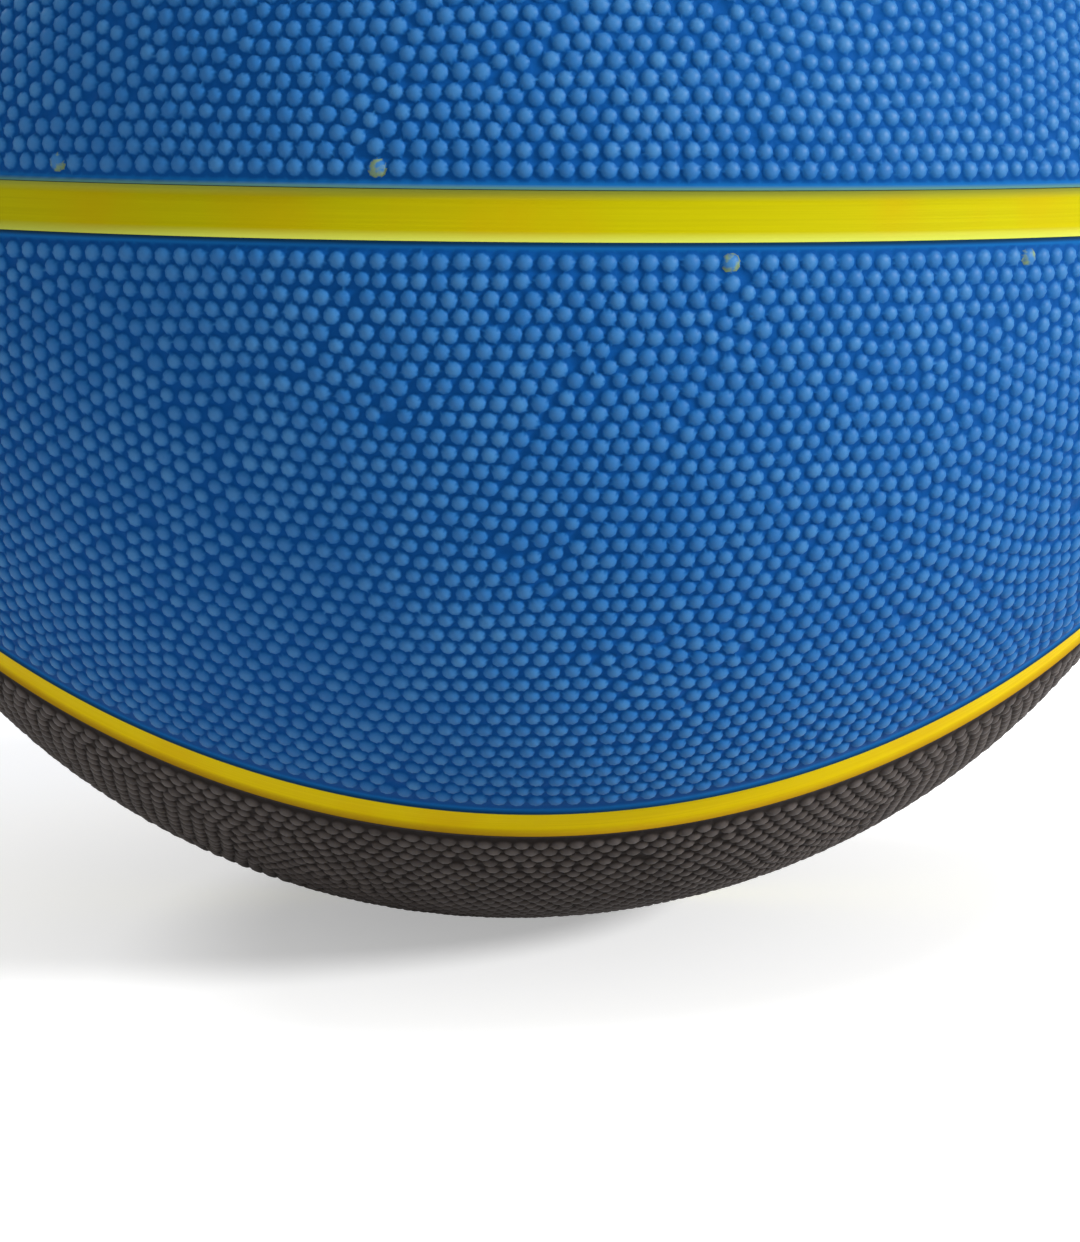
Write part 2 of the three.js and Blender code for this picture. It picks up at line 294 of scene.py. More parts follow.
def evenly_spaced(loop, spacing):
    """Places at even spacing along a closed loop."""
    closed = np.vstack([loop, loop[:1]])
    steps = np.linalg.norm(np.diff(closed, axis=0), axis=1) * BALL_RADIUS
    travelled = np.concatenate([[0.0], np.cumsum(steps)])
    count = round(travelled[-1] / spacing)
    marks = travelled[-1] * np.arange(count) / count
    return unit(np.stack([np.interp(marks, travelled, closed[:, k]) for k in range(3)], axis=1))


def flattened(places, middle):
    """Stereographic projection about a middle place. It keeps circles round, so a Delaunay mesh stays one."""
    east = unit(np.cross([0.0, 0.0, 1.0], middle))
    north = np.cross(middle, east)
    scale = 2 / (1 + places @ middle)
    return np.stack([places @ east * scale, places @ north * scale], axis=1)


def delaunay(places, middle, loops=()):
    """Edges and triangles between places on the ball, up to their convex outline, with the steps of the loops
    among the edges. A loop is an array of place numbers."""
    flat = [Vector(place) for place in flattened(places, middle).tolist()]
    borders = [edge for loop in loops for edge in zip(loop.tolist(), np.roll(loop, -1).tolist())]
    output_type = 0  # every triangle
    precision = 1e-9
    made = delaunay_2d_cdt(flat, borders, [], output_type, precision, True)
    edges, triangles, sources = made[1:4]
    number = np.array([numbers[0] for numbers in sources])
    return number[np.array(edges)], number[np.array(triangles)]


def is_inside(points, loop):
    """Whether each flat point lies inside a closed flat loop, by counting crossings on one side of it."""
    x, y = points.T[:, :, None]
    start_x, start_y = loop.T
    end_x, end_y = np.roll(start_x, -1), np.roll(start_y, -1)
    spans = (start_y > y) != (end_y > y)
    rise = np.where(spans, end_y - start_y, 1.0)
    crossing_x = start_x + (y - start_y) / rise * (end_x - start_x)
    return (spans & (x < crossing_x)).sum(axis=1) % 2 == 1


# Pebbles. A panel holds thousands that lie close, each with its own place and size, on one closed skin.
# Operators can't lay them, so their corners are worked out and meshed in one go.

def spiral_places(count):
    """Places spread evenly over the ball on a spiral about the X axis."""
    turn = math.pi * (3 - math.sqrt(5))
    steps = np.arange(count) + 0.5
    return on_sphere(turn * steps, np.arcsin(1 - 2 * steps / count))[:, [2, 0, 1]]


def pebble_places(kind):
    """Where a panel's pebbles stand. One row follows the rim. The others start out uneven and push each
    other apart until they lie in patches of close packing, as on a moulded cover."""
    middle = PANEL_MIDDLES[kind]
    pitch = PEBBLE_PITCH / BALL_RADIUS
    row = evenly_spaced(panel_outline(kind, FIRST_ROW_DISTANCE, CURVED_ROW_EXTRA), PEBBLE_PITCH)
    cell = math.sqrt(3) / 2 * pitch ** 2
    cloud = spiral_places(round(4 * math.pi / cell))
    cloud = unit(cloud + rng.normal(size=cloud.shape) * START_SCATTER * pitch)
    flat_row = flattened(row, middle)
    cloud = cloud[is_inside(flattened(cloud, middle), flat_row)]
    from_row = np.linalg.norm(cloud[:, None] - row[None], axis=2).min(axis=1)
    places = np.vstack([row, cloud[from_row > ROW_CLEARANCE * pitch]])
    for step in range(RELAX_STEPS):
        if step % STEPS_BETWEEN_MESHES == 0:
            inner = places[len(row):]
            places = np.vstack([row, inner[is_inside(flattened(inner, middle), flat_row)]])
            edges, _ = delaunay(places, middle)
        start, end = edges.T
        gap = places[end] - places[start]
        length = np.linalg.norm(gap, axis=1)
        closeness = np.maximum(PUSH_REACH - length / pitch, 0) / PUSH_FADE
        push = gap * (closeness ** 3 / length)[:, None]
        pushes = [
            np.bincount(end, push[:, k], len(places)) - np.bincount(start, push[:, k], len(places))
            for k in range(3)
        ]
        move = np.stack(pushes, axis=1)
        move[:len(row)] = 0
        move /= np.maximum(np.linalg.norm(move, axis=1, keepdims=True) / LARGEST_PUSH, 1)
        places = unit(places + PUSH_STEP * pitch * move)
    return unit(places + rng.normal(size=places.shape) * PLACE_JITTER / BALL_RADIUS)


def nearest_neighbour(places, middle):
    """The distance from each place to its nearest neighbour."""
    edges, _ = delaunay(places, middle)
    lengths = np.linalg.norm(places[edges[:, 0]] - places[edges[:, 1]], axis=1) * BALL_RADIUS
    nearest = np.full(len(places), np.inf)
    for end in edges.T:
        np.minimum.at(nearest, end, lengths)
    return nearest


def rings_round(places, radii, corners, turns, stretches):
    """A ring of places round each place, stretched along a direction that its turn gives."""
    east = unit(np.cross([0.0, 0.0, 1.0], places))
    north = np.cross(places, east)
    along = np.cos(turns)[:, None] * east + np.sin(turns)[:, None] * north
    across = np.cross(places, along)
    angles = FULL_TURN * np.arange(corners) / corners
    long_part = np.cos(angles)[None, :, None] * (along * (1 + stretches)[:, None])[:, None]
    short_part = np.sin(angles)[None, :, None] * (across * (1 - stretches)[:, None])[:, None]
    reach = (radii / BALL_RADIUS)[:, None, None]
    return unit(places[:, None] + reach * (long_part + short_part)).reshape(-1, 3)


class Cover:
    """A panel's corners and triangles as they are gathered. Each corner has a direction, a radius, and the
    three numbers that its finish depends on: how high it is on a pebble, the pebble's tone, and how far it
    lies from the channel's wall."""

    def __init__(self, kind):
        self.middle = PANEL_MIDDLES[kind]
        self.corners = []
        self.triangles = []
        self.count = 0

    def add(self, directions, radius, height=0.0, tone=0.5, wall_distance=FAR_FROM_WALL):
        """Gathers corners, one row of seven numbers for each, and returns the numbers that they get."""
        rows = np.empty((len(directions), 7))
        rows[:, :3] = directions
        for column, value in enumerate((radius, height, tone, wall_distance), start=3):
            rows[:, column] = value
        self.corners.append(rows)
        first = self.count
        self.count += len(rows)
        return np.arange(first, self.count)

    def join(self, upper, lower):
        """Triangles between two closed loops that run counterclockwise, the upper one nearer the viewer."""
        next_upper, next_lower = np.roll(upper, -1), np.roll(lower, -1)
        self.triangles.append(np.stack([upper, lower, next_lower], axis=1))
        self.triangles.append(np.stack([upper, next_lower, next_upper], axis=1))

    def fill(self, first, outline, hole, facing_out):
        """Triangles between all the corners from the first one on, inside the outline and outside the hole.
        The mesh between them reaches their convex outline, so what lies beyond the panel's is taken off."""
        places = np.concatenate(self.corners)[first:, :3]
        loops = [outline - first] + ([] if hole is None else [hole - first])
        _, triangles = delaunay(places, self.middle, loops)
        flat = flattened(places, self.middle)
        on_outline = np.flatnonzero(np.isin(triangles, loops[0]).all(axis=1))
        middles = flat[triangles[on_outline]].mean(axis=1)
        outside = on_outline[~is_inside(middles, flat[loops[0]])]
        triangles = np.delete(triangles, outside, axis=0) + first
        if hole is not None:
            triangles = triangles[~np.isin(triangles, hole).all(axis=1)]
        self.triangles.append(triangles if facing_out else triangles[:, ::-1])

    def piece(self, name, signs):
        """The panel as an object, turned half round by the signs of its coordinates."""
        rows = np.concatenate(self.corners)
        corners = rows[:, :3] * rows[:, 3:4] * np.array(signs)
        triangles = np.concatenate(self.triangles)
        mesh = bpy.data.meshes.new(name)
        mesh.vertices.add(len(corners))
        mesh.vertices.foreach_set("co", corners.astype(np.float32).ravel())
        mesh.loops.add(triangles.size)
        mesh.loops.foreach_set("vertex_index", triangles.astype(np.int32).ravel())
        mesh.polygons.add(len(triangles))
        mesh.polygons.foreach_set("loop_start", np.arange(0, triangles.size, 3, dtype=np.int32))
        mesh.update(calc_edges=True)
        mesh.shade_smooth()
        for column, attribute in enumerate(("pebble_height", "pebble_tone", "wall_distance"), start=4):
            give_attribute(mesh, attribute, rows[:, column])
        panel = bpy.data.objects.new(name, mesh)
        bpy.context.scene.collection.objects.link(panel)
        return panel


def give_attribute(mesh, attribute, values):
    made = mesh.attributes.new(attribute, "FLOAT", "POINT")
    made.data.foreach_set("value", values.astype(np.float32))


def add_pebbles(cover, places, radii, wall):
    """Each pebble is a low dome: a corner at its top and rings of corners down to its foot."""
    count = len(places)
    wall_distance = np.array([np.linalg.norm(wall - place, axis=1).min() for place in places]) * BALL_RADIUS
    tone = rng.random(count)
    turn = rng.random(count) * FULL_TURN
    stretch = rng.random(count) * PEBBLE_STRETCH
    lowered = 1 - PEBBLE_HEIGHT_SPREAD * rng.random(count)
    height = PEBBLE_HEIGHT * np.minimum(radii / PEBBLE_RADIUS, 1) * lowered
    cover.add(places, VALLEY_RADIUS + height, 1.0, tone, wall_distance)
    for radius_share, height_share, corners in PEBBLE_RINGS:
        each_height, each_tone, each_distance = (
            np.repeat(values, corners) for values in (height, tone, wall_distance)
        )
        ring = rings_round(places, radii * radius_share, corners, turn, stretch)
        cover.add(ring, VALLEY_RADIUS + each_height * height_share, height_share, each_tone, each_distance)


def make_cover(kind, places, radii, valve=None):
    """A pebbled panel: the pebbled face, a raised lip along its edge, the channel's wall and the
    underside. A valve is the direction of a hole with a smooth clearing round it."""
    cover = Cover(kind)
    wall = panel_outline(kind, CHANNEL_EDGE)
    if valve is not None:
        from_valve = np.linalg.norm(places - valve, axis=1) * BALL_RADIUS - radii
        places, radii = (values[from_valve > VALVE_CLEARING_RADIUS] for values in (places, radii))

        def circle(radius):
            return rings_round(valve[None], np.array([radius]), HOLE_CORNERS, np.zeros(1), np.zeros(1))

    add_pebbles(cover, places, radii, wall)
    edge = panel_outline(kind, CHANNEL_EDGE + LIP_WIDTH)
    edge_loop = cover.add(edge, VALLEY_RADIUS, wall_distance=LIP_WIDTH)
    hole_loop = None
    if valve is not None:
        cover.add(circle(VALVE_CLEARING_RADIUS), VALLEY_RADIUS, wall_distance=LIP_WIDTH)
        hole_loop = cover.add(circle(VALVE_HOLE_RADIUS + LIP_WIDTH), VALLEY_RADIUS, wall_distance=LIP_WIDTH)
    cover.fill(0, edge_loop, hole_loop, facing_out=True)

    for share in LIP_SHARES:
        radius = VALLEY_RADIUS + LIP_HEIGHT * lip_rise(share)
        inset = LIP_WIDTH * share
        lower_loop = cover.add(panel_outline(kind, CHANNEL_EDGE + inset), radius, wall_distance=inset)
        cover.join(edge_loop, lower_loop)
        edge_loop = lower_loop
        if valve is not None:
            hole_lower = cover.add(circle(VALVE_HOLE_RADIUS + inset), radius, wall_distance=LIP_WIDTH)
            cover.join(hole_lower, hole_loop)
            hole_loop = hole_lower

    bottom_loop = cover.add(wall, PANEL_INNER_RADIUS, wall_distance=0)
    cover.join(edge_loop, bottom_loop)
    hole_bottom = None
    if valve is not None:
        hole_bottom = cover.add(circle(VALVE_HOLE_RADIUS), PANEL_INNER_RADIUS)
        cover.join(hole_bottom, hole_loop)
    cover.add(places[::UNDERSIDE_EVERY], PANEL_INNER_RADIUS)
    cover.fill(bottom_loop[0], bottom_loop, hole_bottom, facing_out=False)
    return cover


# A panel's four places are the one that it is made in and its half turns about X, Y and Z
HALF_TURNS = {
    ("back", "upper"): (1, 1, 1),
    ("front", "lower"): (1, -1, -1),
    ("back", "lower"): (-1, 1, -1),
    ("front", "upper"): (-1, -1, 1),
}


def make_panels(kind, material):
    places = pebble_places(kind)
    gaps = nearest_neighbour(places, PANEL_MIDDLES[kind])
    radii = np.clip(gaps * PEBBLE_SHARE_OF_GAP, PEBBLE_LEAST_RADIUS, PEBBLE_RADIUS)
    whole = make_cover(kind, places, radii)
    for (depth, level), signs in HALF_TURNS.items():
        node = f"{kind}_panel_{depth}_{level}"
        cover = make_cover(kind, places, radii, VALVE_DIRECTION) if node == VALVE_PANEL else whole
        dress(cover.piece(f"pebbled_{node}", signs), node, material)


# Pieces spun from an outline

def spun(name, outline, turn, steps):
    """A closed outline of (x, z) corners, spun about Z from azimuth 0. Without a window, spin turns the other
    way. A part turn keeps the filled outline at both ends."""
    bpy.ops.object.select_all(action="DESELECT")
    ends = "NOTHING" if turn == FULL_TURN else "NGON"
    bpy.ops.mesh.primitive_circle_add(vertices=len(outline), radius=BALL_RADIUS, fill_type=ends)
    piece = bpy.context.object
    piece.name = name
    piece.data.name = name
    for vertex, (x, z) in zip(piece.data.vertices, outline):
        vertex.co = (x, 0, z)
    bpy.ops.object.mode_set(mode="EDIT")
    bpy.ops.mesh.select_all(action="SELECT")
    bpy.ops.mesh.spin(steps=steps, angle=-turn, center=(0, 0, 0), axis=(0, 0, 1))
    bpy.ops.mesh.select_all(action="SELECT")
    bpy.ops.mesh.remove_doubles(threshold=MERGE_DISTANCE)
    bpy.ops.mesh.delete_loose(use_faces=False)
    bpy.ops.object.mode_set(mode="OBJECT")
    return piece


def smooth_outwards(piece, sharp_degrees):
    """The piece's faces turned outwards and shaded smooth, but for edges sharper than an angle."""
    bpy.ops.object.mode_set(mode="EDIT")
    bpy.ops.mesh.select_all(action="SELECT")
    bpy.ops.mesh.normals_make_consistent(inside=False)
    bpy.ops.object.mode_set(mode="OBJECT")
    bpy.ops.object.shade_smooth_by_angle(angle=math.radians(sharp_degrees))


def smooth_step(values, low, high):
    """0 up to the low value and 1 from the high one on, with a soft rise between them."""
    t = np.clip((values - low) / (high - low), 0, 1)
    return t * t * (3 - 2 * t)


def strip_outline():
    """The flat strip's outline at azimuth 0, as x and z, with corners close together near its edges."""
    right = UPTURN_WIDTH * np.array(UPTURN_SHARES) - STRIP_HALF_WIDTH
    across = np.concatenate([right, [0.0], -right[::-1]])
    angles = np.concatenate([across[:1], across, across[-1:]]) / BALL_RADIUS
    radii = np.full(len(angles), STRIP_SURFACE_RADIUS)
    radii[[0, -1]] = PANEL_INNER_RADIUS
    return np.stack([radii * np.cos(angles), radii * np.sin(angles)], axis=1)


def channel_strip(name, path, start, end, sign_x=1, sign_z=1):
    """A strip spun as a flat band round the equator, then bent onto its path from start to end while its
    edges are raised. They stay flat where another channel crosses or the strip ends."""
    turn = end - start
    piece = spun(name, strip_outline(), turn, round(turn * BALL_RADIUS / STRIP_STEP))
    mesh = piece.data
    flat = np.empty(3 * len(mesh.vertices))
    mesh.vertices.foreach_get("co", flat)
    x, y, z = flat.reshape(-1, 3).T
    radius = np.sqrt(x * x + y * y + z * z)
    across = np.arcsin(z / radius) * BALL_RADIUS
    before_start = 0.001  # room for rounding, so that the first section isn't taken for the last
    t = start + np.mod(np.arctan2(y, x) + before_start, FULL_TURN) - before_start
    if turn == FULL_TURN:
        from_crossing = np.abs(path(t)[:, 1]) * BALL_RADIUS - CHANNEL_EDGE
    else:
        from_crossing = np.minimum(t - start, end - t) * BALL_RADIUS
    is_upper = radius > (STRIP_SURFACE_RADIUS + PANEL_INNER_RADIUS) / 2
    rise = upturn_rise((STRIP_HALF_WIDTH - np.abs(across)) / UPTURN_WIDTH)
    rise *= smooth_step(from_crossing, 0, UPTURN_WIDTH) * is_upper
    corners = beside(path, t, across) * (radius + UPTURN_HEIGHT * rise)[:, None] * (sign_x, 1, sign_z)
    mesh.vertices.foreach_set("co", corners.ravel())
    give_attribute(mesh, "across", across)
    smooth_outwards(piece, STRIP_SHARP_DEGREES)
    return piece


def make_strips(material, curved_material):
    dress(channel_strip("smooth_equator_strip", equator, 0, FULL_TURN), "equator_strip", material)
    allowance = (STRIP_HALF_WIDTH + STRIP_END_GAP) / BALL_RADIUS
    over_start = CROSSING_LATITUDE + allowance
    short_end = CROSSING_LATITUDE - allowance
    for level, sign_z in (("upper", 1), ("lower", -1)):
        node = f"curve_strip_{level}"
        strip = channel_strip(f"smooth_{node}", curve, 0, FULL_TURN, sign_z=sign_z)
        dress(strip, node, curved_material)
        for side, sign_x in (("right", 1), ("left", -1)):
            node = f"meridian_strip_{side}_{level}"
            strip = channel_strip(f"smooth_{node}", meridian, allowance, short_end, sign_x, sign_z)
            dress(strip, node, material)
        node = f"meridian_strip_over_{level}"
        strip = channel_strip(f"smooth_{node}", meridian, over_start, math.pi - over_start, sign_z=sign_z)
        dress(strip, node, material)


def turned_on_valve_axis(name, profile):
    """A turned valve piece from a profile of radii and heights, with its edges rounded."""
    piece = spun(name, profile, FULL_TURN, HOLE_CORNERS)
    axis = Vector(VALVE_DIRECTION)
    piece.data.transform(Vector((0, 0, 1)).rotation_difference(axis).to_matrix().to_4x4())
    smooth_outwards(piece, VALVE_SHARP_DEGREES)
    rounding = piece.modifiers.new("rounded_edges", "BEVEL")
    rounding.width = VALVE_EDGE_RADIUS
    rounding.segments = VALVE_EDGE_SEGMENTS
    rounding.limit_method = "ANGLE"
    bpy.ops.object.modifier_apply(modifier=rounding.name)
    return piece


def make_valve(material):
    """The body is a stem, a flange that the bladder is glued to, and a housing. The core plugs its bore."""
    rim_angle = FLANGE_RADIUS / FLANGE_DOME_RADIUS
    stem_angle = STEM_RADIUS / FLANGE_DOME_RADIUS
    flange_angles = np.linspace(rim_angle, stem_angle, FLANGE_DOME_CORNERS)
    body = [
        (NEEDLE_EXIT_RADIUS, HOUSING_END),
        (HOUSING_RADIUS, HOUSING_END),
        (HOUSING_RADIUS, FLANGE_INNER_FACE),
        (FLANGE_RADIUS, FLANGE_INNER_FACE),
        *((FLANGE_DOME_RADIUS * math.sin(a), FLANGE_DOME_RADIUS * math.cos(a)) for a in flange_angles),
        (STEM_RADIUS, VALVE_FACE),
        (CORE_SEAT_RADIUS, VALVE_FACE),
        (CORE_SEAT_RADIUS, CORE_SEAT),
        (BORE_RADIUS, CORE_SEAT),
        (BORE_RADIUS, HOUSING_END + HOUSING_FLOOR),
        (NEEDLE_EXIT_RADIUS, HOUSING_END + HOUSING_FLOOR),
    ]
    core = [
        (0, CORE_END),
        (CORE_PLUG_RADIUS, CORE_END),
        (CORE_PLUG_RADIUS, CORE_HEAD_UNDERSIDE),
        (CORE_HEAD_RADIUS, CORE_HEAD_UNDERSIDE),
        (CORE_HEAD_RADIUS, CORE_FACE),
        (NEEDLE_RECESS_RADIUS, CORE_FACE),
        (NEEDLE_SLIT_RADIUS, CORE_FACE - NEEDLE_RECESS_DEPTH),
        (0, CORE_FACE - 2 * NEEDLE_RECESS_DEPTH),
    ]
    for node, profile in (("valve_body", body), ("valve_core", core)):
        dress(turned_on_valve_axis(f"turned_{node}", profile), node, material)


def dress(piece, node, material):
    """The piece stands for a CAD node, which it hides, and gets a material."""
    piece.data.materials.clear()
    piece.data.materials.append(material)
    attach(piece, "root")
    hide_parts(node)


# Materials

def linear(hex_colour):
    """A colour for a socket, from sRGB hex."""
    channels = [int(hex_colour[i:i + 2], 16) / 255 for i in (1, 3, 5)]
    return [c / 12.92 if c <= 0.04045 else ((c + 0.055) / 1.055) ** 2.4 for c in channels] + [1.0]


def add_node(tree, kind, inputs, **settings):
    """A shader node with its settings, and on each input a value or another node's output. An input is named
    or numbered among those in use. Returns the first output in use."""
    made = tree.nodes.new("ShaderNode" + kind)
    for name, value in settings.items():
        setattr(made, name, value)
    in_use = [socket for socket in made.inputs if socket.enabled]
    for key, value in inputs.items():
        socket = in_use[key] if isinstance(key, int) else next(s for s in in_use if s.name == key)
        if isinstance(value, bpy.types.NodeSocket):
            tree.links.new(value, socket)
        else:
            socket.default_value = value
    return next((socket for socket in made.outputs if socket.enabled), None)


def new_material(name):
    made = bpy.data.materials.new(name)
    made.use_nodes = True
    made.node_tree.nodes.clear()
    return made, made.node_tree


def lines_along_channel(tree, place, across, spacing):
    """Noise drawn out into fine lines along a channel, from how far across it each point lies."""
    parts = add_node(tree, "SeparateXYZ", {0: place}).node.outputs
    inputs = {
        "X": add_node(tree, "Math", {0: across, 1: 1 / spacing}, operation="MULTIPLY"),
        "Y": add_node(tree, "Math", {0: parts["X"], 1: 1 / LINE_LENGTH}, operation="MULTIPLY"),
        "Z": add_node(tree, "Math", {0: parts["Y"], 1: 1 / LINE_LENGTH}, operation="MULTIPLY"),
    }
    return add_node(tree, "TexNoise", {"Vector": add_node(tree, "CombineXYZ", inputs), "Scale": 1.0})


def moulded_cover_rubber(name, body, worn, shade, upper_lip_bleed_and_painted_light, lower_lip_painted_shade, speck):
    """Vulcanised cover rubber, pressed in a steel mould. It is matt, a little paler on the pebbles where
    hands rub it, darker in the valleys as painted shade, and fine dust greys it at a glancing angle. The
    lips beside the channels are coloured: above the straight channel by strip colour that bled onto them
    together with a painted highlight, and below it by painted shade. A few pebbles of the first row have
    specks of strip colour."""
    made, tree = new_material(name)
    place = add_node(tree, "TexCoord", {}).node.outputs["Object"]
    height = add_node(tree, "Attribute", {}, attribute_name="pebble_height").node.outputs["Fac"]
    tone = add_node(tree, "Attribute", {}, attribute_name="pebble_tone").node.outputs["Fac"]
    wall_distance = add_node(tree, "Attribute", {}, attribute_name="wall_distance").node.outputs["Fac"]
    clouds = add_node(tree, "TexNoise", {"Vector": place, "Scale": 1 / CLOUD_SIZE, "Detail": 2.0})
    grain = add_node(tree, "TexNoise", {"Vector": place, "Scale": 1 / COVER_GRAIN, "Detail": 2.0})

    # Painted shade: the valleys are darker, though not close to the rim.
    valley = add_node(tree, "MapRange", {"Value": height, "From Max": 0.45, "To Min": 0.65, "To Max": 0.0})
    start, end = PAINTED_VALLEY_SHADE_STARTS
    past_rim = add_node(tree, "MapRange", {"Value": wall_distance, "From Min": start, "From Max": end})
    valley = add_node(tree, "Math", {0: valley, 1: past_rim}, operation="MULTIPLY")
    colour = add_node(
        tree, "Mix", {"Factor": valley, "A": linear(body), "B": linear(shade)}, data_type="RGBA",
    )
    on_top = add_node(tree, "MapRange", {"Value": height, "From Min": 0.3, "From Max": 0.9})
    rubbed = add_node(tree, "MapRange", {"Value": tone, "To Min": 0.15, "To Max": 0.55})
    rubbed_here = add_node(
        tree, "MapRange", {"Value": clouds, "From Min": 0.3, "From Max": 0.7, "To Min": 0.5, "To Max": 1.0},
    )
    wear = add_node(tree, "Math", {0: on_top, 1: rubbed}, operation="MULTIPLY")
    wear = add_node(tree, "Math", {0: wear, 1: rubbed_here}, operation="MULTIPLY")
    colour = add_node(tree, "Mix", {"Factor": wear, "A": colour, "B": linear(worn)}, data_type="RGBA")

    # Painted light on the lips: above the straight channel bled strip colour with a painted highlight, below
    # it painted shade.
    parts = add_node(tree, "SeparateXYZ", {0: place}).node.outputs
    is_upper = add_node(tree, "MapRange", {"Value": parts["Z"], "From Min": -1 * MM, "From Max": 1 * MM})
    lip_inputs = {"Factor": is_upper, "A": linear(lower_lip_painted_shade), "B": linear(upper_lip_bleed_and_painted_light)}
    lip_bleed_and_painted_light = add_node(tree, "Mix", lip_inputs, data_type="RGBA")
    start, end = LIP_BLEED_AND_PAINTED_LIGHT_ENDS
    on_lip = {"Value": wall_distance, "From Min": start, "From Max": end, "To Min": 0.8, "To Max": 0.0}
    on_lip = add_node(tree, "MapRange", on_lip)
    colour = add_node(tree, "Mix", {"Factor": on_lip, "A": colour, "B": lip_bleed_and_painted_light}, data_type="RGBA")
    start, end = FIRST_ROW_ENDS
    first_row = {"Value": wall_distance, "From Min": start, "From Max": end, "To Min": 1.0, "To Max": 0.0}
    first_row = add_node(tree, "MapRange", first_row)
    few = add_node(tree, "MapRange", {"Value": tone, "From Min": 0.975, "From Max": 0.98})
    spots = add_node(tree, "TexNoise", {"Vector": place, "Scale": 1 / SPECK_SIZE})
    spotted = add_node(tree, "MapRange", {"Value": spots, "From Min": 0.46, "From Max": 0.62, "To Max": 0.65})
    specks = add_node(tree, "Math", {0: first_row, 1: few}, operation="MULTIPLY")
    specks = add_node(tree, "Math", {0: specks, 1: spotted}, operation="MULTIPLY")
    colour = add_node(tree, "Mix", {"Factor": specks, "A": colour, "B": linear(speck)}, data_type="RGBA")

    lines = lines_along_channel(tree, place, wall_distance, COVER_LINE_SPACING)
    start, end = RIM_LINES_END
    on_rim = {"Value": wall_distance, "From Min": start, "From Max": end, "To Min": 1.0, "To Max": 0.0}
    on_rim = add_node(tree, "MapRange", on_rim)
    relief = add_node(tree, "Math", {0: lines, 1: on_rim, 2: grain}, operation="MULTIPLY_ADD")
    bump = add_node(tree, "Bump", {"Height": relief, "Strength": 0.25, "Distance": FINE_RELIEF})
    roughness = add_node(tree, "MapRange", {"Value": height, "To Min": 0.65, "To Max": 0.5})
    gloss = add_node(tree, "MapRange", {"Value": height, "To Min": 0.03, "To Max": 0.3})
    shader = {"Base Color": colour, "Roughness": roughness, "Specular IOR Level": gloss, "Normal": bump}
    shader |= {"Sheen Weight": 0.04, "Sheen Roughness": 0.5}
    add_node(tree, "OutputMaterial", {"Surface": add_node(tree, "BsdfPrincipled", shader)})
    return made


def pressed_strip_rubber(name, body, streak, patch, left_edge_painted_light, right_edge_painted_light):
    """Yellow channel rubber, pressed by a polished rib of the mould. It is satin, with fine lines along it
    from the rib's grinding, and faint orange patches where the black carcass shows through. Each edge has
    a colour of its own that is painted light, for how light falls where the strip curves up: on the
    straight strips painted shade along the left edge and a painted highlight along the right one, on the
    curved strips painted shade along both. Left and right are as one goes along the strip's path, before
    it is mirrored."""
    made, tree = new_material(name)
    place = add_node(tree, "TexCoord", {}).node.outputs["Object"]
    across = add_node(tree, "Attribute", {}, attribute_name="across").node.outputs["Fac"]
    lines = lines_along_channel(tree, place, across, STRIP_LINE_SPACING)
    patches = add_node(tree, "TexNoise", {"Vector": place, "Scale": 1 / PATCH_SIZE, "Detail": 3.0})
    share = {"Value": lines, "From Min": 0.35, "From Max": 0.65, "To Max": 0.5}
    share = add_node(tree, "MapRange", share)
    colour = add_node(
        tree, "Mix", {"Factor": share, "A": linear(body), "B": linear(streak)}, data_type="RGBA",
    )
    share = {"Value": patches, "From Min": 0.45, "From Max": 0.75, "To Max": 0.6}
    share = add_node(tree, "MapRange", share)
    colour = add_node(tree, "Mix", {"Factor": share, "A": colour, "B": linear(patch)}, data_type="RGBA")
    # Painted light along each edge, for how light falls on the upturn there.
    for edge, edge_painted_light in ((STRIP_HALF_WIDTH, left_edge_painted_light), (-STRIP_HALF_WIDTH, right_edge_painted_light)):
        share = {"Value": across, "From Min": EDGE_PAINTED_LIGHT_START * edge, "From Max": edge, "To Max": 0.8}
        share = add_node(tree, "MapRange", share)
        colour = add_node(tree, "Mix", {"Factor": share, "A": colour, "B": linear(edge_painted_light)}, data_type="RGBA")
    bump = add_node(tree, "Bump", {"Height": lines, "Strength": 0.3, "Distance": FINE_RELIEF})
    roughness = {"Value": lines, "From Min": 0.3, "From Max": 0.7, "To Min": 0.42, "To Max": 0.55}
    roughness = add_node(tree, "MapRange", roughness)
    shader = {"Base Color": colour, "Roughness": roughness, "Normal": bump}
    shader |= {"IOR": 1.5, "Specular IOR Level": 0.04}
    add_node(tree, "OutputMaterial", {"Surface": add_node(tree, "BsdfPrincipled", shader)})
    return made


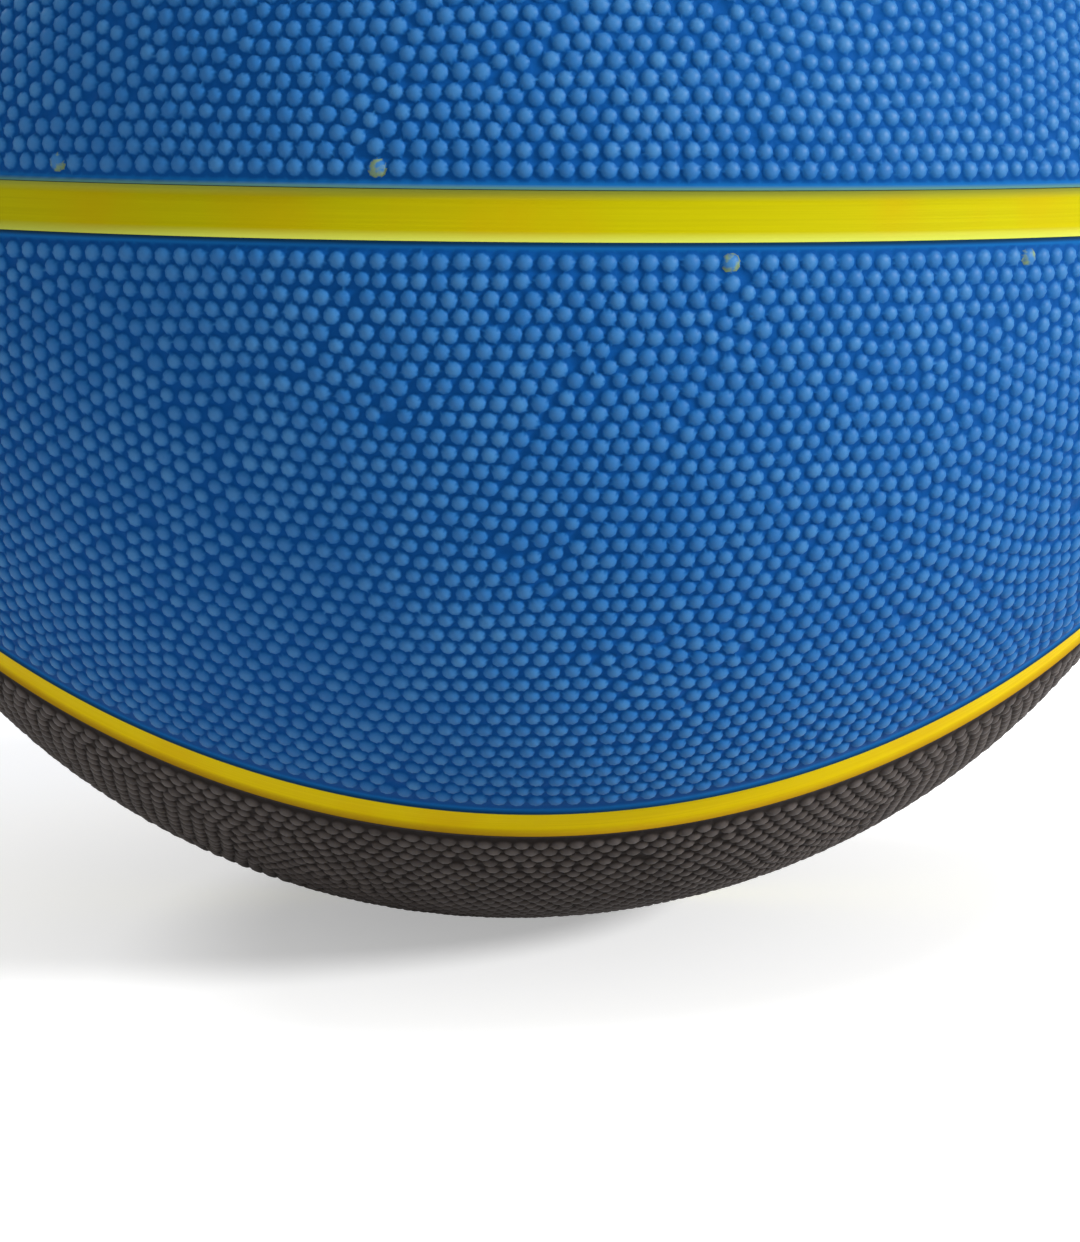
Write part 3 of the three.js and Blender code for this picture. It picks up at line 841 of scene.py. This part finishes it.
def powdered_rubber(name, body, dusty, smoothest, roughest):
    """Dark inner rubber, dusted with release powder before it is cured. It is slightly mottled, with a fine
    grain."""
    made, tree = new_material(name)
    place = add_node(tree, "TexCoord", {}).node.outputs["Object"]
    powder = add_node(tree, "TexNoise", {"Vector": place, "Scale": 1 / POWDER_SIZE, "Detail": 4.0})
    grain = add_node(tree, "TexNoise", {"Vector": place, "Scale": 1 / POWDER_GRAIN, "Detail": 2.0})
    dusted = add_node(tree, "MapRange", {"Value": powder, "From Min": 0.45, "From Max": 0.8})
    colour = add_node(
        tree, "Mix", {"Factor": dusted, "A": linear(body), "B": linear(dusty)}, data_type="RGBA",
    )
    roughness = {"Value": grain, "From Min": 0.2, "From Max": 0.8, "To Min": smoothest, "To Max": roughest}
    roughness = add_node(tree, "MapRange", roughness)
    bump = add_node(tree, "Bump", {"Height": grain, "Strength": 0.2, "Distance": FINE_RELIEF})
    shader = {"Base Color": colour, "Roughness": roughness, "IOR": 1.5, "Normal": bump}
    add_node(tree, "OutputMaterial", {"Surface": add_node(tree, "BsdfPrincipled", shader)})
    return made


def wound_nylon_thread():
    """Nylon thread wound over the bladder in great circles: pale satin lines that cross at an angle, with
    darker gaps. The real thread is 0.2 mm thick, and is drawn four times as coarse so that it shows."""
    made, tree = new_material("wound_nylon_thread")
    place = add_node(tree, "TexCoord", {}).node.outputs["Object"]
    waves_per_scale = 20 / FULL_TURN  # how many bands a wave texture draws in a unit length at a scale of 1
    layers = []
    for turn in (0.3, 1.4):
        turned = add_node(tree, "Mapping", {"Vector": place, "Rotation": (turn, 0.4, turn)})
        wave = {"Vector": turned, "Scale": 1 / (THREAD_SPACING * waves_per_scale), "Distortion": 0.6}
        layers.append(add_node(tree, "TexWave", wave).node.outputs["Fac"])
    threads = add_node(tree, "Math", {0: layers[0], 1: layers[1]}, operation="MAXIMUM")
    colour = add_node(
        tree, "Mix", {"Factor": threads, "A": linear("#8E8878"), "B": linear("#EDE8DA")}, data_type="RGBA",
    )
    bump = add_node(tree, "Bump", {"Height": threads, "Strength": 0.5, "Distance": THREAD_RELIEF})
    shader = {"Base Color": colour, "Roughness": 0.4, "IOR": 1.53, "Normal": bump}
    add_node(tree, "OutputMaterial", {"Surface": add_node(tree, "BsdfPrincipled", shader)})
    return made


# The blue's valley colour is painted shade, its upper lip colour is bled strip colour with a painted
# highlight, and its lower lip colour is painted shade.
blue_rubber = moulded_cover_rubber(
    "moulded_blue_rubber", "#0F5FA2", "#4A8ABC", "#00397F", "#5A8268", "#08222A", "#8C9C2C",
)
# The black's lip colour, above and below, is painted shade.
black_rubber = moulded_cover_rubber(
    "moulded_black_rubber", "#3F3835", "#766D69", "#161211", "#2E2610", "#2E2610", "#3F3835",
)
# Its left edge colour is painted shade, and its right one a painted highlight.
yellow_rubber = pressed_strip_rubber(
    "pressed_yellow_rubber", "#BAB200", "#ADA500", "#BFA000", "#7A8941", "#C1CF5E",
)
# A warmer copy of the strip rubber for the curved strips, brighter than the straight strips' as painted
# light. Both its edge colours are painted shade.
warm_yellow_rubber_with_painted_light = pressed_strip_rubber(
    "pressed_warm_yellow_rubber", "#EACC00", "#DCBC00", "#DDA800", "#916618", "#90B048",
)
carcass_rubber = powdered_rubber("calendered_carcass_rubber", "#2B211B", "#4A3D33", 0.67, 0.83)
bladder_rubber = powdered_rubber("moulded_butyl_rubber", "#18181A", "#3A3A3C", 0.42, 0.58)
valve_rubber = powdered_rubber("moulded_valve_rubber", "#1B1B1D", "#303033", 0.42, 0.58)

make_panels(SIDE, blue_rubber)
make_panels(CAP, black_rubber)
make_strips(yellow_rubber, warm_yellow_rubber_with_painted_light)
make_valve(valve_rubber)

inner_layers = {"bladder": bladder_rubber, "thread_winding": wound_nylon_thread(), "carcass": carcass_rubber}
for node, material in inner_layers.items():
    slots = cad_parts[node].data.materials
    slots.clear()
    slots.append(material)


# Floor, light and camera

def make_floor():
    """A white paper floor. To the camera it is as bright as the white behind it, apart from the ball's
    shadow, and it throws back little light."""
    bpy.ops.object.select_all(action="DESELECT")
    bpy.ops.mesh.primitive_plane_add(size=FLOOR_SIZE, location=(0, 0, -BALL_RADIUS))
    floor = bpy.context.object
    floor.name = "white_floor"
    made, tree = new_material("white_paper")
    seen = add_node(tree, "LightPath", {}).node.outputs["Is Camera Ray"]
    colour = add_node(
        tree, "Mix", {"Factor": seen, "A": linear("#DADADA"), "B": linear("#FAFAFA")}, data_type="RGBA",
    )
    paper = add_node(tree, "BsdfDiffuse", {"Color": colour})
    glow = add_node(tree, "MapRange", {"Value": seen, "To Max": FLOOR_GLOW})
    glow = add_node(tree, "Emission", {"Color": linear("#FFFFFF"), "Strength": glow})
    both = add_node(tree, "AddShader", {0: paper, 1: glow})
    add_node(tree, "OutputMaterial", {"Surface": both})
    floor.data.materials.append(made)


def make_lamp(name, azimuth, latitude, size, watts):
    """A round lamp that faces the ball from an azimuth and a latitude in degrees."""
    data = bpy.data.lights.new(name, "AREA")
    data.shape = "DISK"
    data.size = size
    data.energy = watts
    lamp = bpy.data.objects.new(name, data)
    direction = on_sphere(math.radians(azimuth), math.radians(latitude))
    lamp.location = Vector(direction) * LAMP_DISTANCE
    lamp.rotation_euler = (-lamp.location).to_track_quat("-Z", "Y").to_euler()
    bpy.context.scene.collection.objects.link(lamp)


def make_world():
    """White to the eye, and plain soft light on everything."""
    world = bpy.data.worlds.new("studio")
    bpy.context.scene.world = world
    world.use_nodes = True
    tree = world.node_tree
    tree.nodes.clear()
    seen = add_node(tree, "LightPath", {}).node.outputs["Is Camera Ray"]
    strength = add_node(tree, "MapRange", {"Value": seen, "To Min": WORLD_STRENGTH, "To Max": 1.0})
    light = add_node(tree, "Background", {"Color": linear("#FFFFFF"), "Strength": strength})
    add_node(tree, "OutputWorld", {"Surface": light})


def make_camera():
    """A camera that sees the ball's centre at its pixel of the photograph."""
    away = on_sphere(-math.pi / 2 - CAMERA_AZIMUTH, CAMERA_ELEVATION)
    place = Vector(away) * CAMERA_DISTANCE
    right = BALL_CENTRE_PIXEL[0] - PHOTO_WIDTH / 2
    down = BALL_CENTRE_PIXEL[1] - PHOTO_HEIGHT / 2
    to_centre = Vector((right, -down, -FOCAL_PIXELS)).normalized()
    aside = Vector((0, 0, -1)).rotation_difference(to_centre)
    facing = (-place).to_track_quat("-Z", "Y")
    roll = Matrix.Rotation(CAMERA_ROLL, 4, "Z").to_quaternion()
    data = bpy.data.cameras.new("camera")
    data.sensor_width = SENSOR_WIDTH_MM
    data.lens = FOCAL_PIXELS / PHOTO_HEIGHT * SENSOR_WIDTH_MM
    data.clip_start = 10 * MM
    camera = bpy.data.objects.new("camera", data)
    camera.matrix_world = Matrix.Translation(place) @ (facing @ roll @ aside.inverted()).to_matrix().to_4x4()
    bpy.context.scene.collection.objects.link(camera)
    bpy.context.scene.camera = camera


make_floor()
make_lamp("key", azimuth=-25, latitude=20, size=0.6, watts=88.0)
make_lamp("top", azimuth=-60, latitude=68, size=1.0, watts=26.0)
make_lamp("back_fill", azimuth=135, latitude=35, size=1.0, watts=30.0)
make_world()
make_camera()
bpy.context.scene.view_settings.view_transform = "Standard"
